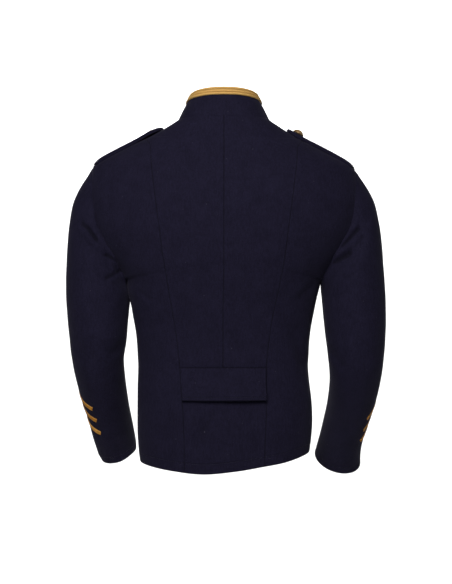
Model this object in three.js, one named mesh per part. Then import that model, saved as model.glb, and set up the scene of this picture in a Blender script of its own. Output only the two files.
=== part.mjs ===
// Hussar jacket: a wool uniform jacket in the hollow shape it keeps when it is worn.
// Millimetres. The origin is the centre of the neck base, +X the wearer's left,
// +Y the wearer's back and +Z up.

import * as THREE from 'three';

// Cloth and trim thicknesses
const CLOTH = 2.5;
const COLLAR_CLOTH = 3;
const STRAP_THICK = 5;
const TAB_THICK = 2.6;
const STRIPE_THICK = 1.2;

// Spaces between pieces
const SEAM = 0.3;
const TIP_GAP = 0.4;
const LAID_ON = 0.5;
const STRAP_LIFT = 0.7;
const UNDERLAP = CLOTH + 0.7;

// Front closure
const LAP = 20;
const LAP_RAMP = 46;
const FRONT_BUTTONS = 8;
const FRONT_BUTTON_TOP = -92;
const FRONT_BUTTON_BOTTOM = -556;

// Domed buttons
const BUTTON_RADIUS = 10;
const BUTTON_HEIGHT = 6.5;
const FRONT_BUTTON_RADIUS = 9;
const FRONT_BUTTON_HEIGHT = 5.5;
const BUTTON_SIDES = 12;

// Cuff stripes: chevrons with both ends in the sleeve seams. The lowest ends lie STRIPE_FIRST
// above the cuff edge, and each peak lies STRIPE_RISE higher, STRIPE_REACH round the sleeve.
const STRIPES = 3;
const STRIPE_WIDTH = 7.5;
const STRIPE_FIRST = { left: 70, right: 74 };
const STRIPE_STEP = 28;
const STRIPE_RISE = 44;
const STRIPE_REACH = 70;
const STRIPE_INSET = 0.08;
const STRIPE_LIFT = 0.6;

const cloth = () => new THREE.MeshStandardMaterial({ color: 0x1f1c2c, roughness: 0.95, metalness: 0 });
const braid = () => new THREE.MeshStandardMaterial({ color: 0xbf9653, roughness: 0.55, metalness: 0.35 });
const brass = () => new THREE.MeshStandardMaterial({ color: 0x9a7436, roughness: 0.4, metalness: 0.9 });

const named = (columns, rows) => rows.map((values) =>
  Object.fromEntries(columns.map((column, i) => [column, values[i]])));
const mix = (a, b, t) => a + (b - a) * t;
const clamp01 = (t) => Math.min(Math.max(t, 0), 1);
const smooth = (from, to, value) => {
  const t = clamp01((value - from) / (to - from));
  return t * t * (3 - 2 * t);
};
const steps = (from, to, count) => Array.from({ length: count + 1 }, (_, i) => mix(from, to, i / count));

// The body's level rings, hem to neck. Each ring is a rounded oval: half is its half width,
// back, mid and front are depths on Y, and its height runs from zSide to zBack or zFront.
// princess is the half width at the curved back seam, armBack and armFront at the armhole.
const BODY_COLUMNS = ['zSide', 'zBack', 'zFront', 'half', 'back', 'mid', 'front', 'square',
  'princess', 'armBack', 'armFront'];
const BODY = named(BODY_COLUMNS, [
  [-596, -614, -612, 151, 97, 0, -100, 2.35, 69, 0, 0],
  [-576, -592, -590, 153.5, 97, 0, -100.5, 2.35, 69.3, 0, 0],
  [-548, -557, -556, 155.5, 96.5, 0, -101.5, 2.35, 70, 0, 0],
  [-520, -525, -525, 155.5, 95.5, 0, -102, 2.35, 71.5, 0, 0],
  [-490, -492.6, -492, 154.5, 92, -1, -101, 2.35, 72.5, 0, 0],
  [-465, -465, -465, 152.8, 87.5, -2, -99, 2.35, 73.5, 0, 0],
  [-437, -436, -436, 151.3, 82, -3, -97.5, 2.35, 75, 0, 0],
  [-420, -418, -418, 152.3, 80.5, -3, -97, 2.35, 76.5, 0, 0],
  [-398, -395, -395, 153.3, 80, -4, -99, 2.32, 79, 0, 0],
  [-372, -368, -368, 156.2, 82, -5, -104, 2.3, 82.5, 0, 0],
  [-345, -338, -338, 161.2, 86, -6, -111, 2.3, 87.5, 0, 0],
  [-316, -303, -303, 166.5, 93, -8, -117, 2.3, 94, 0, 0],
  [-290, -268, -268, 172, 99.5, -9, -120, 2.3, 99.5, 172, 172],
  [-284, -260, -260, 176.5, 101, -10, -120, 2.3, 101, 173, 172.5],
  [-275, -250, -250, 182.5, 103, -10, -119.5, 2.3, 102.5, 177, 174.5],
  [-262, -235, -236, 192, 104.5, -11, -118.5, 2.3, 105, 184.5, 178],
  [-245, -217, -218, 206, 105.5, -11, -116, 2.28, 107.5, 192.5, 182.5],
  [-225, -198, -200, 221, 106, -12, -112.5, 2.26, 110, 204.5, 188.5],
  [-205, -179, -182, 232.5, 105.5, -12, -108, 2.25, 112.5, 216, 195.5],
  [-185, -162, -166, 240, 104.5, -13, -103, 2.24, 115, 223.5, 203],
  [-168, -147.5, -153, 243.5, 103.5, -13, -98.5, 2.22, 117, 227, 208.5],
  [-150, -133, -141, 246, 102, -13, -93.5, 2.2, 119, 229, 214.5],
  [-134, -120.5, -131, 244.8, 100, -13, -89.5, 2.2, 120.7, 230, 219.5],
  [-118, -108.5, -122, 242, 97.5, -13, -85.5, 2.2, 122.3, 230.5, 224],
  [-101, -96, -113.5, 237, 95, -12, -81.5, 2.2, 124, 231, 228.5],
  [-83, -83.5, -105, 231, 91.5, -12, -77.5, 2.2, 125.5, 231, 231],
  [-64, -66.5, -97, 200, 88, -11, -74.5, 2.2, 127.2, 0, 0],
  [-47.5, -51, -90, 168, 84, -10, -72, 2.2, 128.8, 0, 0],
  [-29, -35, -82, 130, 80, -8, -69.5, 2.2, 130, 0, 0],
  [-11.5, -14, -75, 100, 76, -3, -67.5, 2.2, 0, 0, 0],
  [0, 1, -68, 81, 72, 2, -66, 2.2, 0, 0, 0],
]);
const HEM = 0;
const TAB_LOW = 4;
const WAIST_SEAM = 6;
const ARMPIT = 12;
const TIP = 25;
const PRINCESS_TOP = 28;
const NECK = 30;

// The side back narrows to a point of this angle where its seam meets the shoulder seam
const PRINCESS_POINT = 0.05;

// The hem hangs lower on the wearer's left, where the shoulder stands a little higher. The
// waist sways out to the left, and the hip to the right.
const HEM_LEAN = { left: 0.05, right: 0.065 };
const SHOULDER_LEAN = 0.013;
const WAIST_SWAY = 1.6;
const HIP_SWAY = -1.5;

// Sleeve rings, armhole to cuff, on each side: the outer and inner edges, then the depth
// of the ring's centre on Y, half its depth, and how far the ring leans with the forearm.
const SLEEVE_COLUMNS = ['outX', 'outZ', 'inX', 'inZ', 'mid', 'deep', 'lean'];
const SLEEVES = {
  left: named(SLEEVE_COLUMNS, [
    [231, -83, 172, -290, -12, 58, 0],
    [249, -112, 173.3, -296, -12, 60, 0],
    [268, -147, 171, -306, -12, 62, 0],
    [277, -195, 168.8, -321, -10, 64, 0],
    [281, -250, 169.6, -339, -7, 65, 0],
    [281.5, -300, 171.5, -358, -3, 64, 0],
    [279, -345, 172.7, -378, 0, 62, 2],
    [274.5, -388, 174.5, -400, 3, 60, 5],
    [270, -425, 178.5, -424, 0, 57, 10],
    [264, -461, 177.3, -450, -12, 54, 16],
    [255.5, -498, 175.5, -480, -30, 52, 20],
    [245.5, -534, 172, -513, -50, 50, 22],
    [238.5, -569, 167.5, -544, -70, 48, 22],
    [232.5, -594, 163, -575, -88, 46, 19],
    [226.5, -609, 162, -594, -97, 45, 17],
  ]),
  right: named(SLEEVE_COLUMNS, [
    [231, -83, 172, -290, -12, 58, 0],
    [249.5, -112, 173.2, -297, -12, 60, 0],
    [268.5, -146, 173.7, -306, -12, 62, 0],
    [279, -195, 174.6, -320, -10, 64, 0],
    [284, -250, 176, -338, -7, 65, 0],
    [287, -300, 177.8, -358, -3, 64, 0],
    [288, -350, 180.5, -382, 2, 62, 3],
    [286.5, -392, 183.5, -408, 4, 60, 8],
    [283, -430, 186.5, -434, 0, 58, 14],
    [279, -466, 189, -462, -16, 55, 22],
    [272, -503, 188.5, -491, -38, 53, 28],
    [264, -535, 185.5, -521, -62, 51, 31],
    [257.5, -564, 180, -553, -84, 49, 32],
    [253.5, -594, 174, -584, -106, 47, 32],
    [254, -620, 169, -606, -122, 46, 32],
  ]),
};
const SLEEVE_RINGS = [0, 0.5, 1, 1.5, 2, 2.6, 3.3, 4, 5, 6, 6.6, 7.2, 8, 9, 10, 11, 12, 13, 14];
const CUFF = 14;
const CAP_BLEND = 4;

// Points round an armhole: from the shoulder tip down the back, and up the front. The two
// sleeve seams start at these steps, and the left sleeve's turn inward by the elbow.
const ARM_STEPS = TIP - ARMPIT;
const ROUND = 2 * ARM_STEPS;
const HIND_SEAM = 4;
const FORE_SEAM = -9;
const CHEVRON_PEAK = -2.5;
const SLEEVE_TURN = { left: 1, right: 0 };
const TURN_FROM = 1;
const TURN_TO = 9;

// Large folds as lines seen from behind, in the side's own X. A height below zero is a trough.
const FOLD_COLUMNS = ['fromX', 'fromZ', 'toX', 'toZ', 'width', 'height'];
const BODY_FOLDS = {
  left: named(FOLD_COLUMNS, [
    [128, -352, 146, -420, 14, -2.5],
    [14, -508, 50, -562, 12, -2.2],
    [150, -285, 118, -322, 13, -2.4],
  ]),
  right: named(FOLD_COLUMNS, [
    [117, -372, 146, -444, 14, -3],
    [160, -275, 128, -316, 13, -2.6],
    [40, -520, 62, -585, 14, -1.8],
  ]),
};
const SLEEVE_FOLDS = {
  left: named(FOLD_COLUMNS, [
    [257, -187, 238, -225, 12, -4],
    [243, -234, 196, -249, 11, -5],
    [246, -262, 200, -272, 11, 2.5],
    [207, -280, 186, -268, 9, -3.5],
    [176, -392, 200, -417, 12, -5],
    [262, -395, 232, -424, 14, -3],
    [250, -330, 205, -352, 16, -2],
  ]),
  right: named(FOLD_COLUMNS, [
    [244, -189, 209, -226, 12, -4.5],
    [240, -228, 196, -252, 11, -4.5],
    [248, -254, 204, -274, 11, 2.5],
    [262, -300, 214, -322, 15, -2.5],
    [186, -410, 214, -440, 13, -4.5],
    [273, -408, 240, -428, 14, -3],
  ]),
};
const FRONT_FOLD_SHARE = 0.6;

// The stand collar's rings, neck seam to top edge; rise shapes the height between side and back
const COLLAR_COLUMNS = ['zSide', 'zBack', 'zFront', 'half', 'back', 'mid', 'front', 'rise'];
const COLLAR = named(COLLAR_COLUMNS, [
  [0.4, 1.4, -67.6, 81, 72, 2, -66, 2],
  [8, 13, -57, 77.3, 69, 1, -66.5, 1.7],
  [20, 27, -42, 71.2, 66, -1, -68, 1.3],
  [29.8, 39, -31.5, 65.3, 63.3, -2, -69, 1],
  [39.2, 50.3, -21, 59.6, 60.5, -3, -69.5, 0.9],
]);
const COLLAR_TOP = 4;
const COLLAR_SQUARE = 2.2;
const COLLAR_ROUND = 28;
const COLLAR_OPENING = 1;
const COLLAR_ROWS = [0, 1, 2, 2.8, 3.4, COLLAR_TOP];

// The braid's section: place on the collar, height of the strands over it, and of its back
const BRAID_SECTION = named(['v', 'out', 'up', 'backOut', 'backUp'], [
  [2.8, 1.3, 0, 0.45, 0],
  [3.0, 2.5, 0, 0.45, 0],
  [3.2, 1.5, 0, 0.45, 0],
  [3.4, 2.5, 0, 0.45, 0],
  [3.6, 1.5, 0, 0.45, 0],
  [3.8, 2.5, 0, 0.45, 0],
  [4, 1.7, 1.3, 0.45, 0.45],
  [4, -COLLAR_CLOTH, 1.3, -COLLAR_CLOTH, 0.45],
]);

// Shoulder straps: stations from the armhole inward along the shoulder, counted in body rings.
// behind is the distance of its middle line from the shoulder seam, and curl how far its back
// edge stands up off the shoulder.
const STRAP_COLUMNS = ['ring', 'width', 'thick', 'leftBehind', 'rightBehind', 'leftCurl', 'rightCurl'];
const STRAP = named(STRAP_COLUMNS, [
  [0.03, 44, 1.8, 11, 11, 0, 0],
  [0.25, 43.5, 3.6, 11, 11, 0, 0],
  [0.6, 43, STRAP_THICK, 11, 11, 0, 0],
  [1.3, 41.5, STRAP_THICK, 10, 11, 0, 0],
  [2, 40, STRAP_THICK, 8, 11, 0.3, 0],
  [2.4, 39.5, STRAP_THICK, 4, 11, 1.1, 0],
  [2.8, 39, STRAP_THICK, 1, 11, 2.5, 0.4],
  [3.1, 38, STRAP_THICK, -1, 11, 3.3, 0.8],
  [3.33, 33, STRAP_THICK - 0.5, -1, 11, 3.1, 1.2],
  [3.47, 22, STRAP_THICK - 1, -1, 11, 2.6, 1],
  [3.54, 9, STRAP_THICK - 1.5, -1, 11, 2, 0.8],
]);
const STRAP_ACROSS = [-1, -0.5, 0, 0.5, 1];

// Each strap's button: its station, and its place across the strap from -1 in front to 1 behind
const STRAP_BUTTONS = { left: { station: 6.8, across: -0.65 }, right: { station: 6.8, across: -0.3 } };

// Catmull-Rom between the rows of a table, column by column
function rowAt(table, v) {
  const low = Math.min(Math.max(Math.floor(v), 0), table.length - 2);
  const t = v - low;
  const [before, start, end, after] = [low - 1, low, low + 1, low + 2].map(
    (i) => table[Math.min(Math.max(i, 0), table.length - 1)]);
  const column = (key) => {
    const out = (end[key] - before[key]) / 2;
    const into = (after[key] - start[key]) / 2;
    const bend = end[key] - start[key];
    return start[key] + t * (out + t * (3 * bend - 2 * out - into + t * (out + into - 2 * bend)));
  };
  return Object.fromEntries(Object.keys(start).map((key) => [key, column(key)]));
}

// Height of the folds at a place, from the distance to each fold's line
function foldHeight(folds, x, z) {
  return folds.reduce((sum, fold) => {
    const [dx, dz] = [fold.toX - fold.fromX, fold.toZ - fold.fromZ];
    const along = clamp01(((x - fold.fromX) * dx + (z - fold.fromZ) * dz) / (dx * dx + dz * dz));
    const away = Math.hypot(x - fold.fromX - along * dx, z - fold.fromZ - along * dz);
    return sum + fold.height * Math.exp(-((away / fold.width) ** 2));
  }, 0);
}

const oval = (row, theta, square, rise) => {
  const [c, s] = [Math.cos(theta), Math.sin(theta)];
  const power = 2 / square;
  const reach = s > 0 ? row.back - row.mid : row.mid - row.front;
  return new THREE.Vector3(
    row.half * Math.sign(c) * Math.abs(c) ** power,
    row.mid + reach * Math.sign(s) * Math.abs(s) ** power,
    mix(row.zSide, s > 0 ? row.zBack : row.zFront, Math.abs(s) ** rise));
};

// A smooth surface is a function of (v, u); its outward normal comes from small steps
function normalAt(surface, v, u, turn) {
  const small = 0.01;
  const alongU = surface(v, u + small).sub(surface(v, u - small));
  const alongV = surface(v + small, u).sub(surface(v - small, u));
  return alongU.cross(alongV).multiplyScalar(turn).normalize();
}

// Body surface: theta is 0 at the side, 90 degrees at the centre back, -90 at the centre front.
// X is the side's own, so it is mirrored for the wearer's right when a piece is made.
const sign = (side) => (side === 'left' ? 1 : -1);
const mirrored = (side, point) => new THREE.Vector3(sign(side) * point.x, point.y, point.z);

const bodyForm = (side) => (v, theta) => {
  const row = rowAt(BODY, v);
  const point = oval(row, theta, row.square, 2);
  const hang = HEM_LEAN[side] * smooth(-480, -600, point.z);
  const stand = SHOULDER_LEAN * smooth(TIP - 4, TIP, v) * smooth(NECK, NECK - 2, v);
  const low = mix(HIP_SWAY, WAIST_SWAY, smooth(TAB_LOW - 1, WAIST_SEAM, v));
  const sway = low * smooth(ARMPIT, ARMPIT - 2, v);
  point.z += sign(side) * point.x * (stand - hang);
  point.x += sign(side) * sway;
  return point;
};

function bodyAt(side, v, theta) {
  const form = bodyForm(side);
  const point = form(v, theta);
  const normal = normalAt(form, v, theta, 1);
  const onFront = FRONT_FOLD_SHARE * smooth(LAP, 3 * LAP, Math.abs(point.x));
  const share = normal.y > 0 ? normal.y : -normal.y * onFront;
  point.addScaledVector(normal, share * foldHeight(BODY_FOLDS[side], point.x, point.z));
  return { point, normal };
}

const thetaAtX = (v, x) => {
  const row = rowAt(BODY, v);
  return Math.acos(Math.sign(x) * Math.min(Math.abs(x) / row.half, 1) ** (row.square / 2));
};

// Turn an edge by a distance along its ring
function turned(side, v, theta, distance) {
  const form = bodyForm(side);
  const small = 0.01;
  return theta + distance * 2 * small / form(v, theta + small).distanceTo(form(v, theta - small));
}

const princess = (v) => (v > PRINCESS_TOP ? 0
  : Math.max(thetaAtX(v, rowAt(BODY, v).princess), PRINCESS_POINT));
const armhole = (v, isBack) => {
  if (v <= ARMPIT || v >= TIP) return 0;
  const row = rowAt(BODY, v);
  return isBack ? thetaAtX(v, row.armBack) : -thetaAtX(v, row.armFront);
};

// Sleeve surface: step 0 is the outer edge, a quarter round is the back
const sleeveOval = (row, step) => {
  const angle = (2 * Math.PI * step) / ROUND;
  const lean = THREE.MathUtils.degToRad(row.lean);
  const [across, deep] = [Math.cos(angle), Math.sin(angle) * row.deep];
  return new THREE.Vector3(
    mix(row.inX, row.outX, (1 + across) / 2),
    row.mid + deep * Math.cos(lean),
    mix(row.inZ, row.outZ, (1 + across) / 2) - deep * Math.sin(lean));
};

function armholeAt(side, step) {
  const turn = ((step % ROUND) + ROUND) % ROUND;
  const isBack = turn <= ARM_STEPS;
  const v = TIP - (isBack ? turn : ROUND - turn);
  const edge = armhole(v, isBack);
  const atEnd = turn === 0 || turn === ARM_STEPS;
  const theta = atEnd ? 0 : turned(side, v, edge, isBack ? -SEAM : SEAM);
  return bodyAt(side, v, theta);
}

const sleeveForm = (side) => (v, step) => {
  const point = sleeveOval(rowAt(SLEEVES[side], v), step);
  const blend = clamp01(1 - v / CAP_BLEND) ** 2;
  if (blend > 0) {
    const seam = armholeAt(side, step).point.sub(sleeveOval(SLEEVES[side][0], step));
    point.addScaledVector(seam, blend);
  }
  return point;
};

function sleeveAt(side, v, step) {
  const form = sleeveForm(side);
  const point = form(v, step);
  const normal = normalAt(form, Math.max(v, 0.02), step, -1);
  const share = normal.y > 0 ? normal.y : -normal.y * FRONT_FOLD_SHARE;
  const fade = smooth(0.2, 1.2, v);
  point.addScaledVector(normal, fade * share * foldHeight(SLEEVE_FOLDS[side], point.x, point.z));
  return { point, normal };
}

// At the armhole the sleeve's wall follows the body's wall, except under the arm
function sleeveWall(side, v, step) {
  const { point, normal } = sleeveAt(side, v, step);
  if (v > 0) return { point, normal };
  const seam = armholeAt(side, step);
  if (step === 0 || step === ARM_STEPS) seam.point.x += TIP_GAP;
  const share = smooth(-0.3, 0.3, normal.dot(seam.normal));
  return { point: seam.point, normal: normal.lerp(seam.normal, share).normalize() };
}

const collarForm = (v, theta) => {
  const row = rowAt(COLLAR, Math.min(v, COLLAR_TOP));
  return oval(row, theta, COLLAR_SQUARE, row.rise);
};

// A wall's solid from two grids of points, its outer and its inner face
function wallGeometry(outer, inner) {
  const [rows, columns] = [outer.length, outer[0].length];
  const positions = [...outer.flat(), ...inner.flat()].flatMap((p) => [p.x, p.y, p.z]);
  const triangles = [];
  const quad = (a, b, c, d) => triangles.push(a, b, c, a, c, d);
  const at = (layer, i, j) => layer * rows * columns + i * columns + j;
  for (let i = 0; i < rows - 1; i += 1) {
    for (let j = 0; j < columns - 1; j += 1) {
      quad(at(0, i, j), at(0, i, j + 1), at(0, i + 1, j + 1), at(0, i + 1, j));
      quad(at(1, i, j), at(1, i + 1, j), at(1, i + 1, j + 1), at(1, i, j + 1));
    }
    const last = columns - 1;
    quad(at(0, i, 0), at(0, i + 1, 0), at(1, i + 1, 0), at(1, i, 0));
    quad(at(0, i, last), at(1, i, last), at(1, i + 1, last), at(0, i + 1, last));
  }
  for (let j = 0; j < columns - 1; j += 1) {
    const last = rows - 1;
    quad(at(0, 0, j), at(1, 0, j), at(1, 0, j + 1), at(0, 0, j + 1));
    quad(at(0, last, j), at(0, last, j + 1), at(1, last, j + 1), at(1, last, j));
  }
  const geometry = new THREE.BufferGeometry();
  geometry.setAttribute('position', new THREE.Float32BufferAttribute(positions, 3));
  geometry.setIndex(facingOut(positions, triangles));
  geometry.computeVertexNormals();
  return geometry;
}

// Turn all triangles over when the solid they close measures below zero
function facingOut(positions, triangles) {
  const corner = (i) => new THREE.Vector3().fromArray(positions, 3 * i);
  let volume = 0;
  for (let i = 0; i < triangles.length; i += 3) {
    const [a, b, c] = triangles.slice(i, i + 3).map(corner);
    volume += a.dot(b.cross(c));
  }
  return volume > 0 ? triangles : triangles.slice().reverse();
}

const jacket = new THREE.Group();

function addMesh(name, geometry, material) {
  const mesh = new THREE.Mesh(geometry, material);
  mesh.name = name;
  jacket.add(mesh);
  return mesh;
}

// A piece of wall whose faces lie out and out - thick from a surface, row by row
function addWall(name, side, rows, material) {
  const face = (key) => rows.map((row) => row.map(({ point, normal, out = 0, thick }) =>
    mirrored(side, point.clone().addScaledVector(normal, key === 'outer' ? out : out - thick))));
  return addMesh(name, wallGeometry(face('outer'), face('inner')), material);
}

// Body panels, between two edges that are functions of the ring
function addPanel(name, side, rings, edges, columns) {
  const rows = rings.map((v) => {
    const [from, to] = edges(v);
    return steps(from, to, columns).map((theta) => ({ ...bodyAt(side, v, theta), thick: CLOTH }));
  });
  addWall(name, side, rows, cloth());
}

const ringsBetween = (from, to) => {
  const between = Array.from({ length: NECK + 1 }, (_, i) => i).filter((v) => v > from && v < to);
  const shoulder = [PRINCESS_TOP - 0.5, PRINCESS_TOP - 0.2].filter((v) => v > from && v < to);
  return [from, ...between, ...shoulder, to].sort((a, b) => a - b);
};

const halfSeam = (side, v, theta, way) => turned(side, v, theta, way * SEAM / 2);
const waistShift = SEAM / 2 / (BODY[WAIST_SEAM + 1].zBack - BODY[WAIST_SEAM].zBack);

function addBackPanels(side) {
  const centre = (v) => [
    halfSeam(side, v, princess(v), 1),
    halfSeam(side, v, Math.PI / 2, -1),
  ];
  const flank = (v) => {
    const edge = v > ARMPIT && v < TIP ? armhole(v, true) : halfSeam(side, v, 0, 1);
    return [edge, halfSeam(side, v, princess(v), -1)];
  };
  addPanel(`back_centre_${side}`, side, ringsBetween(WAIST_SEAM + waistShift, NECK), centre, 5);
  addPanel(`back_side_${side}`, side, ringsBetween(HEM, PRINCESS_TOP), flank, 5);
}

function addBackSkirt() {
  const rings = ringsBetween(HEM, WAIST_SEAM - waistShift);
  const half = (side, v) => steps(halfSeam(side, v, princess(v), 1), Math.PI / 2, 5)
    .map((theta) => skirtPoint(side, v, theta));
  addWall('back_skirt', 'left', rings.map((v) =>
    [...half('left', v), ...half('right', v).reverse().slice(1)]), cloth());
}

// A point of a piece that crosses the centre back, in the wearer's own X
function skirtPoint(side, v, theta, out = 0, thick = CLOTH) {
  const { point, normal } = bodyAt(side, v, theta);
  return { point: mirrored(side, point), normal: mirrored(side, normal), out, thick };
}

// The waist tab hangs from the waist seam and stands away from the skirt at its free edge
const TAB_INSET = 1;
const TAB_STAND = 4;
function addWaistTab() {
  const top = WAIST_SEAM - waistShift;
  const rings = steps(top, TAB_LOW, 4);
  const half = (side, v) => steps(turned(side, v, princess(v), TAB_INSET), Math.PI / 2, 5)
    .map((theta) => {
      const down = (top - v) / (top - TAB_LOW);
      const droop = side === 'right' ? 1.25 : 0.9;
      const out = LAID_ON + TAB_STAND * droop * down ** 2 + TAB_THICK;
      return skirtPoint(side, v, theta, out, TAB_THICK);
    });
  addWall('waist_tab', 'left', rings.map((v) =>
    [...half('left', v), ...half('right', v).reverse().slice(1)]), cloth());
}

// The left front laps over the right, which sinks under it near the centre
function addFront(side) {
  const halfRamp = (LAP_RAMP + LAP) / 2;
  const columnsAt = side === 'left' ? [LAP, 0, -LAP] : [LAP_RAMP, halfRamp, LAP, 0, -LAP];
  const spans = side === 'left' ? 7 : 5;
  const rows = ringsBetween(HEM, NECK).map((v) => {
    const edge = v > ARMPIT && v < TIP ? armhole(v, false) : halfSeam(side, v, 0, -1);
    const thetas = columnsAt.map((x) => -thetaAtX(v, x));
    const all = [...steps(edge, thetas[0], spans), ...thetas.slice(1)];
    return all.map((theta, i) => {
      const sunk = side === 'right' ? clamp01((i - spans) / 2) * UNDERLAP : 0;
      return { ...bodyAt(side, v, theta), out: -sunk, thick: CLOTH };
    });
  });
  addWall(`front_${side}`, side, rows, cloth());
}

// Sleeves: a top and an under piece, parted along the two sleeve seams
function addSleeve(side) {
  const place = (v, seam, way) => {
    const step = sleeveForm(side)(v, seam).distanceTo(sleeveForm(side)(v, seam + 1));
    return seam + (way * SEAM) / 2 / step;
  };
  const piece = (name, from, to) => {
    const rows = SLEEVE_RINGS.map((v) => {
      const turn = SLEEVE_TURN[side] * smooth(TURN_FROM, TURN_TO, v);
      const inside = Array.from({ length: to - from - 1 }, (_, i) => turn + from + 1 + i);
      return [place(v, turn + from, 1), ...inside, place(v, turn + to, -1)]
        .map((step) => ({ ...sleeveWall(side, v, step), thick: CLOTH }));
    });
    addWall(`${name}_${side}`, side, rows, cloth());
  };
  piece('sleeve_top', FORE_SEAM, HIND_SEAM);
  piece('sleeve_under', HIND_SEAM, ROUND + FORE_SEAM);
}

// Ring of the sleeve at a length above the cuff edge, measured along one step
function sleeveRingAbove(side, step, height) {
  const form = sleeveForm(side);
  const small = 0.05;
  let [v, length] = [CUFF, 0];
  while (length < height) {
    length += form(v, step).distanceTo(form(v - small, step));
    v -= small;
  }
  return v + (small * (length - height)) / form(v, step).distanceTo(form(v + small, step));
}

function addStripes(side) {
  const [fore, peak, hind] = [FORE_SEAM, CHEVRON_PEAK, HIND_SEAM].map((step) => step + SLEEVE_TURN[side]);
  const half = STRIPE_WIDTH / 2 / Math.cos(Math.atan2(STRIPE_RISE, STRIPE_REACH));
  const between = Array.from({ length: hind - fore - 1 }, (_, i) => fore + 1 + i);
  const columns = [fore + STRIPE_INSET, ...between, peak, hind - STRIPE_INSET].sort((a, b) => a - b);
  const climb = (step) => (step < peak ? (step - fore) / (peak - fore) : (hind - step) / (hind - peak));
  for (let n = 0; n < STRIPES; n += 1) {
    const base = STRIPE_FIRST[side] + STRIPE_STEP * (STRIPES - 1 - n);
    const rows = [-half, half].map((edge) => columns.map((step) => {
      const height = base + STRIPE_RISE * climb(step) + edge;
      const place = sleeveAt(side, sleeveRingAbove(side, step, height), step);
      return { ...place, out: STRIPE_LIFT + STRIPE_THICK, thick: STRIPE_THICK };
    }));
    addWall(`cuff_stripe_${side}_${n + 1}`, side, rows, braid());
  }
}

const collarThetas = () => {
  const open = COLLAR_OPENING / 2 / COLLAR[0].half;
  return steps(-Math.PI / 2 + open, 1.5 * Math.PI - open, COLLAR_ROUND);
};

function addCollar() {
  const rows = COLLAR_ROWS.map((v) => collarThetas().map((theta) => ({
    point: collarForm(v, theta),
    normal: normalAt(collarForm, Math.min(v, COLLAR_TOP - 0.02), theta, 1),
    thick: COLLAR_CLOTH,
  })));
  addWall('collar', 'left', rows, cloth());
}

function addCollarBraid() {
  const face = (outKey, upKey) => BRAID_SECTION.map((station) => collarThetas().map((theta) => {
    const v = Math.min(station.v, COLLAR_TOP - 0.02);
    const normal = normalAt(collarForm, v, theta, 1);
    const up = collarForm(v + 0.01, theta).sub(collarForm(v - 0.01, theta)).normalize();
    return collarForm(station.v, theta)
      .addScaledVector(normal, station[outKey]).addScaledVector(up, station[upKey]);
  }));
  addMesh('collar_braid', wallGeometry(face('out', 'up'), face('backOut', 'backUp')), braid());
}

// Place on the shoulder: a ring counted from the tip, and a distance behind the shoulder seam
function shoulderAt(side, ring, behind) {
  const row = rowAt(BODY, TIP + ring);
  const reach = behind > 0 ? row.back - row.mid : row.mid - row.front;
  const theta = Math.sign(behind) * Math.asin((Math.abs(behind) / reach) ** (row.square / 2));
  return bodyAt(side, TIP + ring, theta);
}

// A place on a strap: the shoulder under it, and how far out its upper face lies
function strapAt(side, station, across) {
  const row = rowAt(STRAP, station);
  const curl = (row[`${side}Curl`] * (1 + across)) / 2;
  return {
    ...shoulderAt(side, row.ring, row[`${side}Behind`] + (across * row.width) / 2),
    out: STRAP_LIFT + curl + row.thick,
    thick: row.thick,
  };
}

function addStrap(side) {
  const rows = STRAP.map((_, station) => STRAP_ACROSS.map((across) => strapAt(side, station, across)));
  addWall(`epaulette_${side}`, side, rows, cloth());
  const upperFace = (station, across) => {
    const { point, normal, out } = strapAt(side, station, across);
    return point.addScaledVector(normal, out);
  };
  const { station, across } = STRAP_BUTTONS[side];
  const seat = {
    point: upperFace(station, across),
    normal: normalAt(upperFace, station, across, 1),
  };
  addButton(`epaulette_button_${side}`, side, seat, BUTTON_RADIUS, BUTTON_HEIGHT);
}

// A domed button, turned about its own axis and set just off the cloth
function addButton(name, side, seat, radius, height) {
  const profile = [
    [0, 0], [radius * 0.6, 0], [radius, height * 0.32],
    [radius * 0.84, height * 0.66], [radius * 0.48, height * 0.93], [0, height],
  ].map(([r, h]) => new THREE.Vector2(r, h));
  const button = addMesh(name, new THREE.LatheGeometry(profile, BUTTON_SIDES), brass());
  const normal = mirrored(side, seat.normal);
  button.quaternion.setFromUnitVectors(new THREE.Vector3(0, 1, 0), normal);
  button.position.copy(mirrored(side, seat.point).addScaledVector(normal, LAID_ON));
}

// Ring at a height on the centre front, found by halving
function frontRingAt(height) {
  let [low, high] = [HEM, NECK];
  for (let i = 0; i < 30; i += 1) {
    const middle = (low + high) / 2;
    if (bodyForm('left')(middle, -Math.PI / 2).z < height) low = middle;
    else high = middle;
  }
  return low;
}

function addFrontButtons() {
  steps(FRONT_BUTTON_TOP, FRONT_BUTTON_BOTTOM, FRONT_BUTTONS - 1).forEach((height, i) => {
    const seat = bodyAt('left', frontRingAt(height), -Math.PI / 2);
    addButton(`front_button_${i + 1}`, 'left', seat, FRONT_BUTTON_RADIUS, FRONT_BUTTON_HEIGHT);
  });
}

for (const side of ['left', 'right']) {
  addBackPanels(side);
  addFront(side);
  addSleeve(side);
  addStripes(side);
  addStrap(side);
}
addBackSkirt();
addWaistTab();
addCollar();
addCollarBraid();
addFrontButtons();

export default jacket;
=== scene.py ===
# Hussar jacket: wool cloth, gold braid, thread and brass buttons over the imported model.
# Metres, in the part's own frame: +X the jacket's left, +Y its back, +Z up.

import math

import bmesh
import bpy
import numpy as np
from mathutils import Matrix, Vector
from mathutils.bvhtree import BVHTree
from mathutils.kdtree import KDTree


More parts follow.
